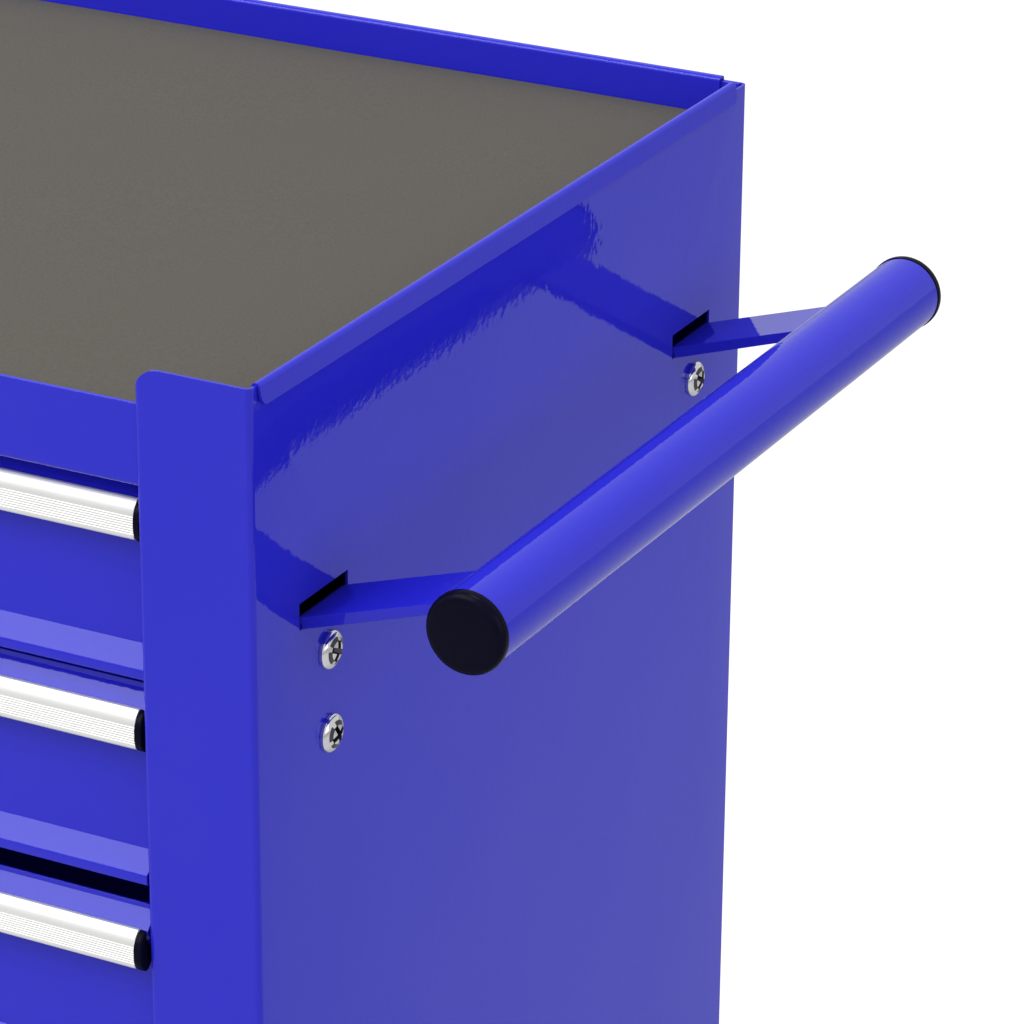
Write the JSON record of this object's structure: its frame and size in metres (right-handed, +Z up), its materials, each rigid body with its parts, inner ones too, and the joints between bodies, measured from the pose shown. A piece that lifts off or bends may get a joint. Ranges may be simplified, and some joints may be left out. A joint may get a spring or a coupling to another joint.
{
  "type": "tool cart",
  "caption": "Steel tool cart with sliding drawers, matted top tray, side push handle, central cam lock, fixed and braked swivel casters.",
  "frame": {"origin": "on the floor, under the centre of the bounding box of the trolley with its handle", "axes": "+Z up, drawers open towards -Y, push handle on the +X side"},
  "size_m": [0.6944, 0.3345, 0.75],
  "materials": {
    "blue_paint": "gloss powder coat",
    "aluminium": "fine ribbed extrusion",
    "black_plastic": "satin moulded",
    "zinc_steel": "bright zinc plate",
    "chrome": "bright nickel chrome",
    "mat_rubber": "matt, faint grain",
    "wheel_plastic": "moulded",
    "tyre_rubber": "matt",
    "brake_plastic": "moulded"
  },
  "bodies": {
    "cabinet": {"side_panel_right": "blue_paint", "side_panel_left": "blue_paint", "back_panel": "blue_paint", "base_panel": "blue_paint", "front_fascia": "blue_paint", "rear_slide_posts": "blue_paint", "top_tray": "blue_paint", "tray_mat": "mat_rubber", "handle_arms": "blue_paint", "handle_tube": "blue_paint", "handle_end_caps": "black_plastic", "handle_screws": "chrome", "hex_nuts": "zinc_steel", "lock_housing": "chrome", "outer_slide_rails": "zinc_steel", "fixed_caster_forks": "zinc_steel", "fixed_caster_axles": "zinc_steel", "swivel_caster_plates": "zinc_steel", "caster_bolts": "zinc_steel"},
    "lock": {"lock_barrel": "chrome", "lock_cam": "zinc_steel"},
    "drawer_1": {"drawer_1_front": "blue_paint", "drawer_1_tub": "blue_paint", "drawer_1_pull": "aluminium", "drawer_1_pull_caps": "black_plastic", "drawer_1_slides": "zinc_steel"},
    "drawer_2": {"drawer_2_front": "blue_paint", "drawer_2_tub": "blue_paint", "drawer_2_pull": "aluminium", "drawer_2_pull_caps": "black_plastic", "drawer_2_slides": "zinc_steel"},
    "drawer_3": {"drawer_3_front": "blue_paint", "drawer_3_tub": "blue_paint", "drawer_3_pull": "aluminium", "drawer_3_pull_caps": "black_plastic", "drawer_3_slides": "zinc_steel"},
    "drawer_4": {"drawer_4_front": "blue_paint", "drawer_4_tub": "blue_paint", "drawer_4_pull": "aluminium", "drawer_4_pull_caps": "black_plastic", "drawer_4_slides": "zinc_steel"},
    "drawer_5": {"drawer_5_front": "blue_paint", "drawer_5_tub": "blue_paint", "drawer_5_pull": "aluminium", "drawer_5_pull_caps": "black_plastic", "drawer_5_slides": "zinc_steel"},
    "fixed_wheel_front": {"fixed_wheel_front": "wheel_plastic", "fixed_tyre_front": "tyre_rubber"},
    "swivel_front": {"swivel_fork_front": "zinc_steel", "swivel_axle_front": "zinc_steel"},
    "swivel_wheel_front": {"swivel_wheel_front": "wheel_plastic", "swivel_tyre_front": "tyre_rubber"},
    "brake_front": {"brake_pedal_front": "brake_plastic"},
    "fixed_wheel_back": {"fixed_wheel_back": "wheel_plastic", "fixed_tyre_back": "tyre_rubber"},
    "swivel_back": {"swivel_fork_back": "zinc_steel", "swivel_axle_back": "zinc_steel"},
    "swivel_wheel_back": {"swivel_wheel_back": "wheel_plastic", "swivel_tyre_back": "tyre_rubber"},
    "brake_back": {"brake_pedal_back": "brake_plastic"}
  },
  "joints": [
    {"name": "drawer_1_slide", "type": "slide", "parent": "cabinet", "child": "drawer_1", "axis": [0, -1, 0], "range_m": [0, 0.225]},
    {"name": "drawer_2_slide", "type": "slide", "parent": "cabinet", "child": "drawer_2", "axis": [0, -1, 0], "range_m": [-0.0025, 0.2225]},
    {"name": "drawer_3_slide", "type": "slide", "parent": "cabinet", "child": "drawer_3", "axis": [0, -1, 0], "range_m": [-0.0063, 0.2187]},
    {"name": "drawer_4_slide", "type": "slide", "parent": "cabinet", "child": "drawer_4", "axis": [0, -1, 0], "range_m": [0, 0.225]},
    {"name": "drawer_5_slide", "type": "slide", "parent": "cabinet", "child": "drawer_5", "axis": [0, -1, 0], "range_m": [0, 0.225]},
    {"name": "lock_turn", "type": "hinge", "parent": "cabinet", "child": "lock", "pos_m": [-0.0378, -0.16378, 0.722], "axis": [0, 1, 0], "range_deg": [0, 90]},
    {"name": "fixed_wheel_front_roll", "type": "hinge", "parent": "cabinet", "child": "fixed_wheel_front", "pos_m": [-0.2903, -0.11578, 0.05], "axis": [0, 1, 0], "continuous": true},
    {"name": "swivel_front_turn", "type": "hinge", "parent": "cabinet", "child": "swivel_front", "pos_m": [0.2147, -0.11578, 0.116], "axis": [0, 0, 1], "continuous": true},
    {"name": "swivel_wheel_front_roll", "type": "hinge", "parent": "swivel_front", "child": "swivel_wheel_front", "pos_m": [0.1867, -0.11578, 0.05], "axis": [0, 1, 0], "continuous": true},
    {"name": "brake_front_pedal", "type": "hinge", "parent": "swivel_front", "child": "brake_front", "pos_m": [0.1787, -0.11578, 0.106], "axis": [0, 1, 0], "range_deg": [0, 18]},
    {"name": "fixed_wheel_back_roll", "type": "hinge", "parent": "cabinet", "child": "fixed_wheel_back", "pos_m": [-0.2903, 0.11822, 0.05], "axis": [0, 1, 0], "continuous": true},
    {"name": "swivel_back_turn", "type": "hinge", "parent": "cabinet", "child": "swivel_back", "pos_m": [0.2147, 0.11822, 0.116], "axis": [0, 0, 1], "continuous": true},
    {"name": "swivel_wheel_back_roll", "type": "hinge", "parent": "swivel_back", "child": "swivel_wheel_back", "pos_m": [0.1867, 0.11822, 0.05], "axis": [0, 1, 0], "continuous": true},
    {"name": "brake_back_pedal", "type": "hinge", "parent": "swivel_back", "child": "brake_back", "pos_m": [0.1787, 0.11822, 0.106], "axis": [0, 1, 0], "range_deg": [0, 18]}
  ]
}
